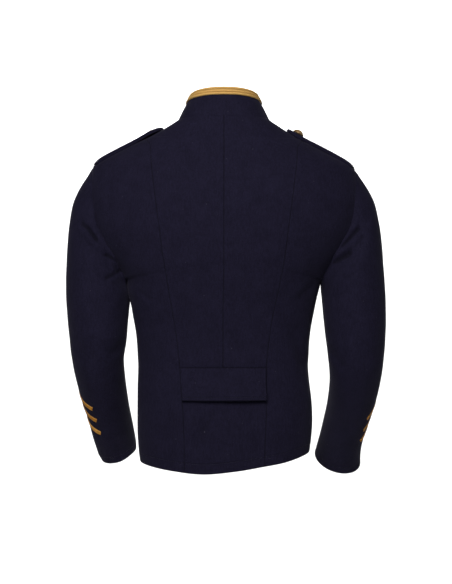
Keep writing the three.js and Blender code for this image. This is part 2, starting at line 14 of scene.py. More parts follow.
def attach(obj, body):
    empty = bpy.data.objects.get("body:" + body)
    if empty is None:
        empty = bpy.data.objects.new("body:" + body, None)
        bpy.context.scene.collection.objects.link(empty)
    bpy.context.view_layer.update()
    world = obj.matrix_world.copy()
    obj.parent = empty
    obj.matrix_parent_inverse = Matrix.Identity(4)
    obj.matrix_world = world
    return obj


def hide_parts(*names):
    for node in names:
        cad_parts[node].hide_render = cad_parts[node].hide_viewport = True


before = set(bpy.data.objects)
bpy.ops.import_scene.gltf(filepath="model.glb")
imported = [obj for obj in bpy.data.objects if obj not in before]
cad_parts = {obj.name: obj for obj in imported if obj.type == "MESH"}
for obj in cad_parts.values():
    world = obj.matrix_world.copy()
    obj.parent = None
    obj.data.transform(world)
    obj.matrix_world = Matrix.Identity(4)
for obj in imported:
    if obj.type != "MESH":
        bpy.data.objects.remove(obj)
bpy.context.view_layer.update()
mm = 0.001
far = 99.0  # millimetres, past the reach of any shade

photo = {
    "camera": (-0.00356, 2.6, -0.305),
    "lens": 90.04,
    "sensor": 36,  # millimetres, along the picture's long side
}

# Studio: two lights stand behind the jacket, on the camera's side, and one is for the wall alone
studio = {
    "floor": -1.5,
    "size": 9,
    "wall": -3.6,
    "curve": 1.2,  # radius of the bend from floor to wall
    "curveSteps": 12,
    "white": (0.86, 0.86, 0.87, 1),
    "grain": 30,  # noise cells a metre
    "depth": 0.0001,
    "air": 0.05,
    "lights": [
        {"name": "keyLight", "place": (0.35, 2.2, 0.9), "aim": (0, 0, -0.1), "size": 1.2, "power": 66},
        {"name": "topLight", "place": (0.2, 1.3, 1.0), "aim": (0, 0, -0.1), "size": 0.9, "power": 9},
        {"name": "wallLight", "place": (0, -2.6, 1.6), "aim": (0, -3.6, 0.4), "size": 1.4, "power": 120},
    ],
}


def say(stage):
    print(f"scene: {stage}", flush=True)


def linked(name, mesh):
    piece = bpy.data.objects.new(name, mesh)
    bpy.context.scene.collection.objects.link(piece)
    return piece


def meshOf(shape, name):
    mesh = bpy.data.meshes.new(name)
    shape.to_mesh(mesh)
    shape.free()
    return mesh


def smoothed(mesh):
    mesh.polygons.foreach_set("use_smooth", [True] * len(mesh.polygons))
    return mesh


def addCamera():
    data = bpy.data.cameras.new("photoView")
    data.lens = photo["lens"]
    data.sensor_width = photo["sensor"]
    camera = linked("photoView", data)
    camera.location = photo["camera"]
    camera.rotation_euler = (math.radians(90), 0, math.radians(180))
    bpy.context.scene.camera = camera


def addLights():
    for light in studio["lights"]:
        data = bpy.data.lights.new(light["name"], "AREA")
        data.size = light["size"]
        data.energy = light["power"]
        lamp = linked(light["name"], data)
        lamp.location = light["place"]
        aim = Vector(light["aim"]) - lamp.location
        lamp.rotation_euler = aim.to_track_quat("-Z", "Y").to_euler()
    world = bpy.data.worlds.new("studioAir")
    world.use_nodes = True
    world.node_tree.nodes["Background"].inputs["Color"].default_value = (1, 1, 1, 1)
    world.node_tree.nodes["Background"].inputs["Strength"].default_value = studio["air"]
    bpy.context.scene.world = world
    bpy.context.scene.view_settings.view_transform = "Standard"


class Wire:
    # Wraps one socket of a material. Arithmetic adds Math nodes, and add() makes any other node.
    def __init__(self, tree, socket):
        self.tree = tree
        self.socket = socket

    def add(self, kind, settings, sockets, out=0):
        node = self.tree.nodes.new(kind)
        for key, value in settings.items():
            setattr(node, key, value)
        for key, value in sockets.items():
            if isinstance(value, Wire):
                self.tree.links.new(value.socket, node.inputs[key])
            else:
                node.inputs[key].default_value = value
        return Wire(self.tree, node.outputs[out]) if len(node.outputs) else None

    def maths(self, operation, first, second=0.0):
        return self.add("ShaderNodeMath", {"operation": operation}, {0: first, 1: second})

    def __add__(self, other):
        return self.maths("ADD", self, other)

    def __mul__(self, other):
        return self.maths("MULTIPLY", self, other)

    def __rsub__(self, other):
        return self.maths("SUBTRACT", other, self)

    def __abs__(self):
        return self.maths("ABSOLUTE", self)

    def rises(self, low, high):
        sockets = {"Value": self, "From Min": low, "From Max": high}
        return self.add("ShaderNodeMapRange", {"interpolation_type": "SMOOTHSTEP"}, sockets)

    def sine(self):
        return self.maths("SINE", self)

    def blend(self, low, high):
        return self.add("ShaderNodeMix", {"data_type": "RGBA"}, {0: self, 6: low, 7: high}, 2)

    def noise(self, scale, detail=2.0, roughness=0.5):
        sockets = {"Vector": self, "Scale": scale, "Detail": detail, "Roughness": roughness}
        return self.add("ShaderNodeTexNoise", {}, sockets)

    def stretched(self, x, y, z):
        return self.add("ShaderNodeMapping", {}, {"Vector": self, "Scale": (x, y, z)})

    def attribute(self, name):
        return self.add("ShaderNodeAttribute", {"attribute_name": name}, {}, 2)

    def surface(self, height, depth, **sockets):
        bump = self.add("ShaderNodeBump", {}, {"Height": height, "Distance": depth, "Strength": 1.0})
        shader = self.add("ShaderNodeBsdfPrincipled", {}, {**sockets, "Normal": bump})
        self.add("ShaderNodeOutputMaterial", {}, {"Surface": shader})


def newMaterial(name):
    material = bpy.data.materials.new(name)
    material.use_nodes = True
    tree = material.node_tree
    tree.nodes.clear()
    coordinates = tree.nodes.new("ShaderNodeTexCoord")
    return material, Wire(tree, coordinates.outputs["Object"])


wool = {
    "deep": (0.0038, 0.0031, 0.0094, 1),
    "lit": (0.0086, 0.0074, 0.0194, 1),
    "lint": (0.03, 0.027, 0.04, 1),
    "fibre": 1500,  # noise cells a metre
    "felt": 520,
    "nap": 380,
    "cloud": 42,
    "speck": 230,
    "napLong": 0.3,  # the nap's noise along Z, as a share of that across it
    "tone": {"fibre": 0.2, "felt": 0.4, "nap": 0.27, "cloud": 0.13},
    "toneSpan": (0.36, 0.64),  # the tone goes from deep to lit between these
    "lintSpan": (0.79, 0.815),
    "foldSpan": (0.2, 1.1),
    "relief": {"fibre": 0.25, "felt": 0.3, "nap": 0.2, "seam": 0.5, "stitch": 0.6},
    "depth": 0.00035,
    "seamPaintedShade": 0.45,  # painted shade down in a seam: the cloth's colour there, as a share
    "seamFrom": 0.1,  # millimetres from the panel's edge
    "seamTo": 1.5,
    # painted shade in the groove along a stitch row, as a share of the cloth's colour
    "stitchPaintedShade": 0.75,
    "stitchTo": 1.4,  # millimetres from a stitch line, where the cloth is drawn in and carries painted shade
    # the cloth's colour at the bottom of a crease, as a share: painted shade
    "foldShade": 0.5,
    "rough": 0.84,
    "rougher": 0.1,
    "finish": {
        "Specular IOR Level": 0.08,
        "Sheen Weight": 0.025,
        "Sheen Roughness": 0.5,
        "Sheen Tint": (0.62, 0.58, 0.85, 1),
    },
}


def shaded(colour, share):
    return tuple(value * share for value in colour[:3]) + (1,)


def woolMaterial(name):
    # Milled wool: a fine felted ground, a nap brushed downwards, slow mottling and a little lint
    material, place = newMaterial(name)
    fibre = place.noise(wool["fibre"], 3.0, 0.6)
    felt = place.noise(wool["felt"], 3.0, 0.6)
    nap = place.stretched(1, 1, wool["napLong"]).noise(wool["nap"], 2.0, 0.6)
    cloud = place.noise(wool["cloud"], 2.0)
    lint = place.noise(wool["speck"], 1.0).rises(*wool["lintSpan"])
    # Painted shade down in the seams, which also gives the painted shadow beside and under the straps
    seam = place.attribute("edge").rises(wool["seamFrom"], wool["seamTo"])
    # Painted shade in the groove that a stitch row draws into the cloth
    drawn = abs(place.attribute("stitch")).rises(0, wool["stitchTo"])
    share = wool["tone"]
    tone = fibre * share["fibre"] + felt * share["felt"] + nap * share["nap"] + cloud * share["cloud"]
    tone = tone.rises(*wool["toneSpan"])

    # The cloth's own colour, or darker by a share where shade is painted
    def shadedCloth(shade):
        return tone.blend(shaded(wool["deep"], shade), shaded(wool["lit"], shade))

    # Painted shade in the crease troughs: the cloth is darker where a crease is pressed deepest
    fold = place.attribute("fold").rises(*wool["foldSpan"])
    face = fold.blend(shadedCloth(1), shadedCloth(wool["foldShade"]))
    face = drawn.blend(shadedCloth(wool["stitchPaintedShade"]), face)
    face = seam.blend(shadedCloth(wool["seamPaintedShade"]), face)
    high = wool["relief"]
    height = fibre * high["fibre"] + felt * high["felt"] + nap * high["nap"]
    place.surface(
        height + seam * high["seam"] + drawn * high["stitch"],
        wool["depth"],
        **{
            "Base Color": lint.blend(face, wool["lint"]),
            "Roughness": felt * wool["rougher"] + wool["rough"],
            **wool["finish"],
        },
    )
    return material


gold = {
    "pale": (0.54, 0.265, 0.046, 1),
    "warm": (0.43, 0.182, 0.016, 1),
    "shadow": (0.15, 0.055, 0.008, 1),
    "thread": 0.9,  # millimetres between threads along the braid
    "slant": 2.4,  # millimetres that a thread runs on from the braid's middle to its edge
    "border": (0.52, 0.66),  # where the ribbed border begins, as a share of the half width
    "speck": 900,  # noise cells a metre
    "depth": 0.00025,
    "finish": {"Roughness": 0.7, "Metallic": 0.05, "Specular IOR Level": 0.1},
}


def braidMaterial(name):
    # Flat woven braid: slanted threads between two paler ribbed borders
    material, place = newMaterial(name)
    along = place.attribute("along")
    across = place.attribute("across")
    side = abs(across)
    rib = (along * (2 * math.pi / gold["thread"])).sine() * 0.5 + 0.5
    slant = ((along + side * gold["slant"]) * (math.pi / gold["thread"])).sine() * 0.5 + 0.5
    border = side.rises(*gold["border"])
    weave = slant * (1 - border) + rib * border
    body = border.blend(gold["warm"], gold["pale"])
    speck = place.noise(gold["speck"], 2.0)
    colour = (weave * 0.7 + speck * 0.3).rises(0.08, 0.5).blend(gold["shadow"], body)
    place.surface(weave + border * 0.4, gold["depth"], **{"Base Color": colour, **gold["finish"]})
    return material


cordGold = {
    # pale on the crests of the fine threads (painted highlight), warm between them (painted shade)
    "pale": (0.66, 0.43, 0.13, 1),
    "warm": (0.46, 0.22, 0.05, 1),
    # groove: the painted shade between the plies
    "groove": (0.16, 0.05, 0.015, 1),
    "along": 1.9,  # fine threads passed for each millimetre along the cord
    "round": 9,  # and on the way from a groove to the middle of a strand
    "speck": 1100,  # noise cells a metre
    "depth": 0.0002,
    "finish": {"Roughness": 0.6, "Metallic": 0.2, "Specular IOR Level": 0.3},
}


def cordMaterial(name):
    material, place = newMaterial(name)
    along = place.attribute("along")
    ply = place.attribute("ply")
    strand = ((along * cordGold["along"] + ply * cordGold["round"]) * (2 * math.pi)).sine() * 0.5 + 0.5
    speck = place.noise(cordGold["speck"], 2.0)
    # Painted highlight and shade: the fine threads are paler on their crests and darker between them, mottled
    # by noise
    colour = (strand * 0.6 + speck * 0.4).rises(0.15, 0.75).blend(cordGold["warm"], cordGold["pale"])
    # Painted shade down the grooves between the plies
    colour = ply.rises(0.05, 0.55).blend(cordGold["groove"], colour)
    place.surface(strand * 0.6 + ply * 0.4, cordGold["depth"], **{"Base Color": colour, **cordGold["finish"]})
    return material


brass = {
    "bright": (0.72, 0.5, 0.24, 1),
    "aged": (0.26, 0.15, 0.07, 1),
    "patch": 260,  # noise cells a metre
    "grain": 700,
    "depth": 0.00008,
    "metal": 0.75,
}


def brassMaterial(name):
    # Bright where the dome is rubbed, and aged in patches and round the rim
    material, place = newMaterial(name)
    patch = place.noise(brass["patch"], 4.0, 0.6)
    worn = place.attribute("worn")
    colour = (patch * 0.5 + worn * 0.6).rises(0.3, 0.75).blend(brass["aged"], brass["bright"])
    place.surface(
        place.noise(brass["grain"], 2.0),
        brass["depth"],
        **{"Base Color": colour, "Roughness": patch * 0.2 + 0.28, "Metallic": brass["metal"]},
    )
    return material


# Sewing thread: each stitch is a short bead of it on the cloth
thread = {
    "dark": (0.0045, 0.0038, 0.01, 1),
    "light": (0.0095, 0.008, 0.019, 1),
    "long": 2.7 * mm,
    "thick": 0.42 * mm,
    "pitch": 3.5 * mm,
    "proud": 0.2,  # how far its middle stands off the cloth, as a share of its thickness
    "twist": 1800,  # noise cells a metre
    "depth": 0.00006,
    "finish": {"Roughness": 0.55, "Specular IOR Level": 0.25},
}


def threadMaterial(name):
    material, place = newMaterial(name)
    twist = place.noise(thread["twist"], 2.0)
    colour = twist.rises(0.35, 0.65).blend(thread["dark"], thread["light"])
    place.surface(twist, thread["depth"], **{"Base Color": colour, **thread["finish"]})
    return material


def stageMaterial():
    material, place = newMaterial("studioWhite")
    grain = place.noise(studio["grain"], 2.0)
    place.surface(grain, studio["depth"], **{"Base Color": studio["white"], "Roughness": 0.9})
    return material


def addStage():
    shape = bmesh.new()
    half = studio["size"] / 2
    bmesh.ops.create_grid(shape, x_segments=1, y_segments=1, size=half)
    bmesh.ops.translate(shape, verts=shape.verts, vec=(0, studio["wall"] + half, studio["floor"]))
    back = [edge for edge in shape.edges if all(v.co.y < studio["wall"] + 0.01 for v in edge.verts)]
    wall = bmesh.ops.extrude_edge_only(shape, edges=back)["geom"]
    risen = [v for v in wall if isinstance(v, bmesh.types.BMVert)]
    bmesh.ops.translate(shape, verts=risen, vec=(0, 0, half))
    bmesh.ops.bevel(
        shape, geom=back, offset=studio["curve"], segments=studio["curveSteps"], profile=0.5,
        affect="EDGES", material=-1)
    mesh = smoothed(meshOf(shape, "studioFloor"))
    mesh.materials.append(stageMaterial())
    linked("studioFloor", mesh)


# Cloth pieces are made from the outer face of their CAD walls: merged, joined into squares,
# subdivided, creased, and given the cloth's thickness again.
cloth = {
    "merge": 0.01 * mm,  # points of a CAD wall nearer than this are one
    "sharp": math.radians(62),  # a face that turns more than this belongs to another side of the wall
    "fine": 3,  # subdivision levels
    "thick": 2.5 * mm,
    "round": 0.35 * mm,
    "meet": 0.4 * mm,  # past half the gap between neighbouring panels, so that none shows through
    "crease": 2.0,  # how strongly the creases are pressed in
    "facing": 0.7,  # how soon a crease fades where the cloth turns away
    "foldDeep": 2.6,  # millimetres of crease at which the painted shade in its trough is darkest
    "calm": 12,  # millimetres from a seam within which the cloth lies stiller
    "calmest": 0.35,  # the share of its height that is left at the seam
}


def facesTogether(shape):
    # The faces in groups, each within one smooth side of the wall, and the largest group first
    groups, left = [], set(shape.faces)
    while left:
        todo = [left.pop()]
        group = []
        while todo:
            face = todo.pop()
            group.append(face)
            for edge in face.edges:
                if edge.calc_face_angle(math.pi) > cloth["sharp"]:
                    continue
                near = [other for other in edge.link_faces if other in left]
                left.difference_update(near)
                todo.extend(near)
        groups.append(group)
    return sorted(groups, key=lambda group: sum(face.calc_area() for face in group), reverse=True)


def mergedShape(node):
    shape = bmesh.new()
    shape.from_mesh(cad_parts[node].data)
    bmesh.ops.remove_doubles(shape, verts=shape.verts, dist=cloth["merge"])
    return shape


def outerSheet(node, upward=False):
    shape = mergedShape(node)
    groups = facesTogether(shape)
    if upward:
        groups = sorted(groups[:2], key=lambda group: sum(face.normal.z for face in group), reverse=True)
    outer = set(groups[0])
    bmesh.ops.delete(shape, geom=[face for face in shape.faces if face not in outer], context="FACES")
    bmesh.ops.join_triangles(
        shape, faces=shape.faces, angle_face_threshold=math.pi, angle_shape_threshold=math.pi)
    odd = sum(len(face.verts) != 4 for face in shape.faces)
    print(f"  {node}: {len(shape.faces)} faces, {odd} not square, {len(groups[0])} of {len(groups[1])}")
    return shape


def applied(piece):
    seen = piece.evaluated_get(bpy.context.evaluated_depsgraph_get())
    mesh = bpy.data.meshes.new_from_object(seen)
    piece.modifiers.clear()
    piece.data = mesh
    return mesh


def readVectors(collection, key):
    values = np.empty(len(collection) * 3)
    collection.foreach_get(key, values)
    return values.reshape(-1, 3)


# A finer surface is drawn back to its CAD points in these rounds, by this share each time
fitting = {"rounds": 3, "share": 0.75}


def subdivided(piece, levels):
    # The control points move out, so that the finer surface passes near where they were
    finer = piece.modifiers.new("finer", "SUBSURF")
    finer.levels = levels
    finer.render_levels = levels
    finer.boundary_smooth = "PRESERVE_CORNERS"
    wanted = readVectors(piece.data.vertices, "co")
    control = wanted.copy()
    for _ in range(fitting["rounds"]):
        seen = piece.evaluated_get(bpy.context.evaluated_depsgraph_get())
        short = wanted - readVectors(seen.to_mesh().vertices, "co")[:len(wanted)]
        control += short * fitting["share"]
        seen.to_mesh_clear()
        piece.data.vertices.foreach_set("co", control.ravel())
        piece.data.update()
    return applied(piece)


rounded = {"steps": 2, "angle": math.radians(50)}


def thickened(piece, thick, radius):
    # The sheet gets its thickness inwards, and then its edges are rounded
    wall = piece.modifiers.new("wall", "SOLIDIFY")
    wall.thickness = thick
    wall.offset = -1
    rounding = piece.modifiers.new("rounding", "BEVEL")
    rounding.width = radius
    rounding.segments = rounded["steps"]
    rounding.limit_method = "ANGLE"
    rounding.angle_limit = rounded["angle"]
    smoothed(applied(piece))


def setAttribute(mesh, name, values):
    layer = mesh.attributes.new(name, "FLOAT", "POINT")
    layer.data.foreach_set("value", np.asarray(values, dtype=np.float32))


def freeEdges(mesh):
    # Each edge with one face only, and that face
    uses = {}
    for polygon in mesh.polygons:
        for key in polygon.edge_keys:
            uses.setdefault(key, []).append(polygon)
    return {key: faces[0] for key, faces in uses.items() if len(faces) == 1}


def distanceTo(points, places):
    tree = KDTree(len(points))
    for index, point in enumerate(points):
        tree.insert(point, index)
    tree.balance()
    return np.array([tree.find(place)[2] for place in places]) / mm


def outwardWays(edges, places):
    # At each edge point, the way out of the sheet in the cloth's own plane
    out = {}
    for (first, second), face in edges.items():
        middle = (places[first] + places[second]) / 2
        run = places[second] - places[first]
        away = middle - places[list(face.vertices)].mean(axis=0)
        away -= run * (away @ run) / (run @ run)
        for index in (first, second):
            out[index] = out.get(index, 0) + away / np.linalg.norm(away)
    return {index: way / np.linalg.norm(way) for index, way in out.items()}


def surfaceOf(*starts):
    # The CAD surface of every node whose name begins with one of these words
    corners, faces = [], []
    for name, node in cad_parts.items():
        if name.startswith(starts):
            first = len(corners)
            corners.extend(vertex.co for vertex in node.data.vertices)
            faces.extend([first + index for index in face.vertices] for face in node.data.polygons)
    return BVHTree.FromPolygons(corners, faces)


def treeOf(mesh, places):
    return BVHTree.FromPolygons(places.tolist(), [tuple(face.vertices) for face in mesh.polygons])


seams = {
    "near": 2 * mm,  # a neighbour this near is sewn to the panel
    "wide": 1.5,  # millimetres of shade that a full press hides
    "shade": 5 * mm,  # how near a strap its shade on the cloth is looked for
    "strapGap": 1.4,  # millimetres from the strap to the cloth below it
    "lap": 0.5 * mm,  # how far a full press pushes the two edges into each other
    "neighbours": {"collar": ("collar",), "sleeve": ("sleeve",), "body": ("back", "front")},
    # How far the seam between two parts is pressed out of sight, from 0 to 1
    "pressed": {("body", "collar"): 1, ("collar", "body"): 1, ("body", "sleeve"): 0.95,
                ("sleeve", "body"): 0.95, ("sleeve", "sleeve"): 0.6},
}
seamSurfaces = {part: surfaceOf(*starts) for part, starts in seams["neighbours"].items()}
strapSurface = surfaceOf("epaulette_left", "epaulette_right")


def pressedSeams(part, rim, places):
    # For each edge point of a panel, how far its seam is pressed out of sight
    pressed = {}
    for index in rim:
        pressed[index] = seams["pressed"].get((part, part), 0)
        for other, surface in seamSurfaces.items():
            if other != part and surface.find_nearest(places[index], seams["near"])[0] is not None:
                pressed[index] = max(pressed[index], seams["pressed"].get((part, other), 0))
    return pressed


def seamDistance(pressed, places):
    # Distance to the panel's edge, in millimetres, and more beside a seam that hardly shows. Near a strap it
    # is the distance to the strap instead, so that the seam's painted shade also paints the strap's shadow on
    # the cloth
    groups = {}
    for index, share in pressed.items():
        groups.setdefault(share, []).append(index)
    ways = [distanceTo(places[group], places) + share * seams["wide"] for share, group in groups.items()]
    # Painted shadow of a strap on the cloth below it: the seam's painted shade follows the distance to the
    # strap
    beside = [strapSurface.find_nearest(place, seams["shade"])[3] for place in places]
    ways.append([far if away is None else away / mm - seams["strapGap"] for away in beside])
    return np.min(ways, axis=0)


def chained(pairs):
    # Edges joined end to end into runs of points
    near = {}
    for first, second in pairs:
        near.setdefault(first, []).append(second)
        near.setdefault(second, []).append(first)
    runs, left = [], set(near)
    for start in sorted(near, key=lambda index: (len(near[index]), index)):
        if start not in left:
            continue
        run = [start]
        left.discard(start)
        while True:
            ahead = [index for index in near[run[-1]] if index in left]
            if not ahead:
                break
            run.append(ahead[0])
            left.discard(ahead[0])
        if len(run) > 3:
            runs.append(run)
    return runs


def addStitches(name, lines, surface, material):
    # Short threads lying on the cloth along each line, joined into one piece
    shape = bmesh.new()
    for line in lines:
        lengths = np.concatenate([[0], np.cumsum(np.linalg.norm(np.diff(line, axis=0), axis=1))])
        for at in np.arange(thread["pitch"] / 2, lengths[-1] - thread["long"] / 2, thread["pitch"]):
            ends = [
                Vector([np.interp(at + offset, lengths, line[:, axis]) for axis in range(3)])
                for offset in (-thread["long"] / 2, thread["long"] / 2)]
            middle, normal = surface.find_nearest((ends[0] + ends[1]) / 2)[:2]
            run = (ends[1] - ends[0]).normalized()
            across = normal.cross(run).normalized()
            turn = Matrix((run, across, run.cross(across))).transposed().to_4x4()
            turn.translation = middle + normal * thread["thick"] * thread["proud"]
            size = Matrix.Diagonal((thread["long"] / 2, thread["thick"] / 2, thread["thick"] / 2, 1))
            bmesh.ops.create_icosphere(shape, subdivisions=1, radius=1, matrix=turn @ size)
    bmesh.ops.recalc_face_normals(shape, faces=shape.faces)
    mesh = smoothed(meshOf(shape, name))
    piece = linked(name, mesh)
    mesh.materials.append(material)
    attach(piece, "root")


def bell(values, middle, spread):
    return np.exp(-(((values - middle) / spread) ** 2))


# The ridge beside a crease: its height as a share of the depth, and its place and width in widths
ridge = {"high": 0.55, "away": 1.7, "wide": 1.2}


def creaseHeight(creases, places):
    # A trough with a softer ridge beside it, fading out at both ends of its line
    x, z = places[:, 0] / mm, places[:, 2] / mm
    height = np.zeros(len(places))
    for fromX, fromZ, toX, toZ, width, depth in creases:
        length = math.hypot(toX - fromX, toZ - fromZ)
        alongX, alongZ = (toX - fromX) / length, (toZ - fromZ) / length
        along = (x - fromX) * alongX + (z - fromZ) * alongZ
        away = (z - fromZ) * alongX - (x - fromX) * alongZ
        ends = np.clip((along + width) / (2 * width), 0, 1)
        ends = ends * np.clip((length + width - along) / (2 * width), 0, 1)
        ends = ends * ends * (3 - 2 * ends)
        beside = ridge["high"] * bell(away, ridge["away"] * width, ridge["wide"] * width)
        height += depth * ends * (beside - bell(away, 0, width))
    return height


# Where the worn cloth stands fuller than its pattern, in millimetres
full = {
    "headZ": -115, "headSpread": 38, "headFrom": 180, "headTo": 222, "head": 2.2,
    "armholeZ": -305, "armholeSpread": 17, "armholeFrom": 120, "armhole": 3.2,
}
# Where the hem or a cuff hangs lower (less than 0) or higher, in millimetres
hang = {
    "from": -555,
    "fade": 60,
    "shifts": [(34, 42, -2.8), (-67, 28, 2.0), (166, 13, 4.5)],  # X, spread and shift
}


def swell(places):
    # The slight unevenness of worn wool, and the lengths of its waves, in millimetres
    x, y, z = (places[:, axis] / mm for axis in range(3))
    broad = np.sin(x / 31 + z / 47 + 0.6) * np.sin(z / 38 - y / 29 + 1.9)
    small = np.sin(x / 13 - z / 17 + y / 21) * np.sin(z / 11 + x / 23 + 0.8)
    return 0.45 * broad + 0.16 * small


def fullness(places, normals, outside):
    # The sleeve heads stand up, and below the left armhole sleeve and body press together
    x, z = places[:, 0] / mm, places[:, 2] / mm
    across = np.clip((np.abs(x) - full["headFrom"]) / (full["headTo"] - full["headFrom"]), 0, 1)
    head = full["head"] * across * bell(z, full["headZ"], full["headSpread"])
    facing = np.clip(normals[:, 0] * outside, 0, 1) * (x > full["armholeFrom"])
    return head + full["armhole"] * facing * bell(z, full["armholeZ"], full["armholeSpread"])


def hemShift(places):
    x, z = places[:, 0] / mm, places[:, 2] / mm
    low = np.clip((hang["from"] - z) / hang["fade"], 0, 1) ** 2
    return low * sum(shift * bell(x, middle, spread) for middle, spread, shift in hang["shifts"])


# Edges with a row of stitches, in millimetres: each lies below a height, and the row this far in
stitched = {
    "hem": {"below": -540, "slope": 0.6, "inset": 17},
    "cuff": {"below": -540, "slope": 0.75, "inset": 14},
    "tab": {"below": -470, "slope": 0.3, "inset": 6},
    "opening": {"below": -85, "slope": 0.8, "inset": 5, "front": -40, "beside": 40},
}


def isStitched(kind, a, b):
    # Whether the edge between two points, in millimetres, is of this kind
    row = stitched[kind]
    level = abs(a[2] - b[2]) < row["slope"] * math.dist(a, b)
    if kind == "opening":
        return not level and a[1] < row["front"] and abs(a[0]) < row["beside"] and a[2] < row["below"]
    return level and a[2] < row["below"]


def clothPiece(node, part, creases, stitching=(), push=None):
    # stitching: the kinds of edge that carry a row. push: further height, in millimetres
    piece = linked(f"{node}_cloth", meshOf(outerSheet(node), node))
    mesh = subdivided(piece, cloth["fine"])
    places = readVectors(mesh.vertices, "co")
    normals = readVectors(mesh.vertex_normals, "vector")
    edges = freeEdges(mesh)
    ways = outwardWays(edges, places)
    rim = sorted(ways)
    edge = distanceTo(places[rim], places)
    height = swell(places)
    fold = np.zeros(len(places))
    for facing, side in ((1, "back"), (-1, "front")):
        share = np.clip(normals[:, 1] * facing, 0, 1) ** cloth["facing"]
        fold += share * creaseHeight(creases[side], places) * cloth["crease"]
    height = (height + fold) * np.clip(edge / cloth["calm"], cloth["calmest"], 1)
    height += fullness(places, normals, -1 if part == "sleeve" else 1)
    if push:
        height += push(places)
    lines = []
    stitch = np.full(len(places), far)
    still = places.copy()
    pressed = pressedSeams(part, rim, still)
    places += normals * (height * mm)[:, None]
    places[:, 2] += hemShift(still) * mm
    for index, way in ways.items():
        places[index] += way * (cloth["meet"] + seams["lap"] * pressed[index])
    surface = treeOf(mesh, places)
    for kind in stitching:
        inset = stitched[kind]["inset"]
        pairs = [key for key in edges if isStitched(kind, still[key[0]] / mm, still[key[1]] / mm)]
        for run in chained(pairs):
            away = distanceTo(still[run], still) - inset
            stitch = np.where(np.abs(away) < np.abs(stitch), away, stitch)
            inner = [surface.find_nearest(places[index] - ways[index] * inset * mm)[0] for index in run]
            lines.append(np.array(inner))
    if lines:
        addStitches(f"{node}_stitches", lines, surface, threads)
    mesh.vertices.foreach_set("co", places.ravel())
    setAttribute(mesh, "edge", seamDistance(pressed, still))
    setAttribute(mesh, "stitch", stitch)
    # How deep each point lies in a crease trough, for the painted shade there
    setAttribute(mesh, "fold", np.clip(-fold / cloth["foldDeep"], 0, 1))
    thickened(piece, cloth["thick"], cloth["round"])
    return piece


def dress(piece, material, slot, *nodes):
    piece.data.materials.clear()
    piece.data.materials.append(material)
    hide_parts(*nodes)
    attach(piece, "root")


# Creases: from X and Z, to X and Z, width and depth, all in millimetres
bodyCreases = {
    "back": [
        (-115, -371, -143, -441, 8, 0.8),
        (-104, -402, -118, -452, 7, 0.4),
        (14, -508, 50, -562, 8, 0.75),
        (128, -352, 146, -420, 8, 0.6),
        (-40, -520, -62, -585, 9, 0.5),
        (150, -300, 122, -322, 6, 0.9),
        (-158, -292, -126, -318, 6, 1.0),
        (30, -470, 34, -520, 9, 0.5),
    ],
    "front": [
        (150, -285, 112, -318, 8, 1.6),
        (-156, -290, -118, -316, 8, 1.5),
        (60, -420, 128, -398, 9, 1.2),
        (-64, -424, -130, -402, 9, 1.3),
        (90, -470, 132, -440, 8, 0.9),
        (-88, -478, -134, -446, 8, 0.8),
    ],
}
sleeveCreases = {
    "left": {
        "back": [
            (251, -182, 222, -216, 5, 1.5),
            (240, -190, 214, -224, 4.5, 0.8),
            (222, -178, 200, -228, 4.5, 1.3),
            (210, -239, 184, -252, 4.5, 1.7),
            (185, -251, 182, -270, 4.5, 1.2),
            (207, -283, 182, -267, 4.5, 1.7),
            (173, -392, 194, -413, 7, 1.2),
            (262, -395, 232, -424, 8, 0.7),
            (180, -430, 206, -446, 7, 0.6),
        ],
        "front": [
            (246, -214, 206, -246, 7, 1.8),
            (250, -262, 200, -280, 8, 1.5),
            (180, -392, 236, -376, 8, 2.0),
            (184, -418, 240, -412, 8, 1.6),
            (190, -446, 232, -452, 7, 1.0),
        ],
    },
    "right": {
        "back": [
            (-239, -191, -205, -227, 5, 1.6),
            (-246, -206, -212, -240, 4.5, 0.8),
            (-222, -236, -191, -254, 5, 1.7),
            (-246, -262, -206, -282, 7, 0.6),
            (-186, -410, -212, -438, 7, 1.0),
            (-272, -412, -242, -430, 8, 0.6),
        ],
        "front": [
            (-248, -220, -208, -252, 7, 1.8),
            (-252, -268, -204, -286, 8, 1.4),
            (-188, -404, -246, -388, 8, 2.1),
            (-192, -430, -250, -424, 8, 1.5),
            (-198, -458, -244, -466, 7, 1.1),
        ],
    },
}
noCreases = {"back": [], "front": []}


# The tab's lower edge stands off the skirt, and the skirt draws in below it, in millimetres
tabFall = {
    "middle": -24,  # X where the edge stands off most
    "spread": 42,
    "low": -485,
    "rise": 34,
    "out": 1.5,
    "skirtIn": 1.2,
    "skirtFall": 26,
}


def tabPush(places):
    x, z = places[:, 0] / mm, places[:, 2] / mm
    low = np.clip((tabFall["low"] + tabFall["rise"] - z) / tabFall["rise"], 0, 1) ** 2
    return tabFall["out"] * bell(x, tabFall["middle"], tabFall["spread"]) * low


def skirtPush(places):
    x, z = places[:, 0] / mm, places[:, 2] / mm
    near = bell(z, tabFall["low"], tabFall["skirtFall"])
    return -tabFall["skirtIn"] * bell(x, tabFall["middle"], tabFall["spread"]) * near


bodyRows = {"back_centre": (), "back_side": ("hem",), "front": ("hem", "opening")}


def addBody(material):
    for kind, rows in bodyRows.items():
        for side in ("left", "right"):
            node = f"{kind}_{side}"
            piece = clothPiece(node, "body", bodyCreases, rows)
            dress(piece, material, "wool", node)
    skirt = clothPiece("back_skirt", "body", bodyCreases, ("hem",), skirtPush)
    tab = clothPiece("waist_tab", "tab", noCreases, ("tab",), tabPush)
    for piece, node in ((skirt, "back_skirt"), (tab, "waist_tab")):
        dress(piece, material, "wool", node)


